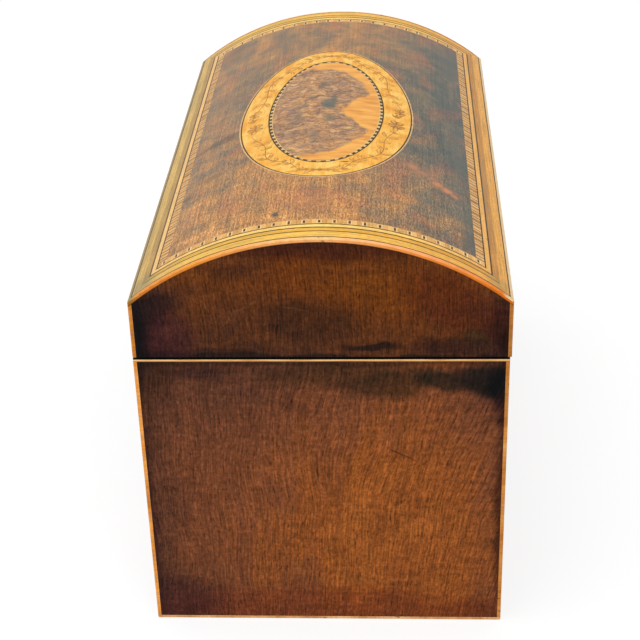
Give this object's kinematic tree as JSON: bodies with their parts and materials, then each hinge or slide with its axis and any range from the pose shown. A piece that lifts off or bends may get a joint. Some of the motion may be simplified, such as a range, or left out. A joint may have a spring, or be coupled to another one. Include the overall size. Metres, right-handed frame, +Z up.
{
  "type": "tea caddy",
  "caption": "Dome-topped wooden tea caddy with an inlaid oval on its lid, hinged at the back, a box lock and lidded foil-lined compartments.",
  "frame": {"origin": "centre of the underside, in plan the centre of the case without its hinge knuckles", "axes": "+X along the caddy's length, -Y towards its front with the keyhole, +Z up"},
  "size_m": [0.21, 0.118, 0.1422],
  "materials": {
    "carcase_mahogany": "satin",
    "mahogany_veneer": "polished",
    "lid_mahogany_veneer": "polished",
    "boxwood_string": "polished",
    "holly_string": "polished",
    "ebonised_line": "polished",
    "satinwood": "polished",
    "ladder_banding": "polished",
    "chequer_banding": "polished",
    "burr_veneer": "polished",
    "brass": "aged",
    "screw_steel": "aged",
    "spring_steel": "blued",
    "tea_foil": "dull",
    "bone": "satin",
    "lining_paper": "matt",
    "baize": "matt"
  },
  "bodies": {
    "case": {"case_front_board": "carcase_mahogany", "case_back_board": "carcase_mahogany", "case_left_board": "carcase_mahogany", "case_right_board": "carcase_mahogany", "bottom_board": "carcase_mahogany", "base_baize": "baize", "case_front_veneer": "mahogany_veneer", "case_back_veneer": "mahogany_veneer", "case_left_veneer": "mahogany_veneer", "case_right_veneer": "mahogany_veneer", "case_corner_strings": "boxwood_string", "case_foot_strings": "boxwood_string", "case_rim_strings": "holly_string", "compartment_liners": "carcase_mahogany", "divider": "carcase_mahogany", "left_foil_lining": "tea_foil", "right_foil_lining": "tea_foil", "keyhole_escutcheon": "bone", "lock_plate": "brass", "lock_cap": "brass", "lock_key_pin": "screw_steel", "lock_spring": "spring_steel", "lock_screws": "screw_steel", "case_hinge_leaves": "brass", "case_hinge_screws": "screw_steel", "hinge_pins": "screw_steel"},
    "lid": {"lid_front_rail": "carcase_mahogany", "lid_back_rail": "carcase_mahogany", "lid_left_gable": "carcase_mahogany", "lid_right_gable": "carcase_mahogany", "lid_top_board": "carcase_mahogany", "lid_lining": "lining_paper", "lid_front_veneer": "mahogany_veneer", "lid_back_veneer": "mahogany_veneer", "lid_left_veneer": "mahogany_veneer", "lid_right_veneer": "mahogany_veneer", "lid_corner_strings": "boxwood_string", "lid_arris_strings": "boxwood_string", "lid_dark_lines": "ebonised_line", "lid_satinwood_banding": "satinwood", "lid_pale_strings": "holly_string", "lid_ladder_banding": "ladder_banding", "lid_field_veneer": "lid_mahogany_veneer", "patera_pale_line": "holly_string", "patera_dark_lines": "ebonised_line", "patera_ring": "satinwood", "patera_chequer": "chequer_banding", "patera_centre": "burr_veneer", "lid_hinge_leaves": "brass", "lid_hinge_screws": "screw_steel", "hook_plate": "brass", "hook_plate_screws": "screw_steel", "lid_hook": "brass"},
    "left_lid": {"left_inner_lid": "carcase_mahogany", "left_inner_lid_strings": "boxwood_string", "left_knob": "bone"},
    "right_lid": {"right_inner_lid": "carcase_mahogany", "right_inner_lid_strings": "boxwood_string", "right_knob": "bone"},
    "bolt": {"lock_bolt": "brass"}
  },
  "joints": [
    {"name": "lid_hinge", "type": "hinge", "parent": "case", "child": "lid", "pos_m": [0, 0.0581, 0.10175], "axis": [-1, 0, 0], "range_deg": [0, 100]},
    {"name": "left_lid_lift", "type": "slide", "parent": "case", "child": "left_lid", "axis": [0, 0, 1], "range_m": [0, 0.02]},
    {"name": "right_lid_lift", "type": "slide", "parent": "case", "child": "right_lid", "axis": [0, 0, 1], "range_m": [0, 0.02]},
    {"name": "bolt_throw", "type": "slide", "parent": "case", "child": "bolt", "axis": [1, 0, 0], "range_m": [0, 0.005]}
  ]
}
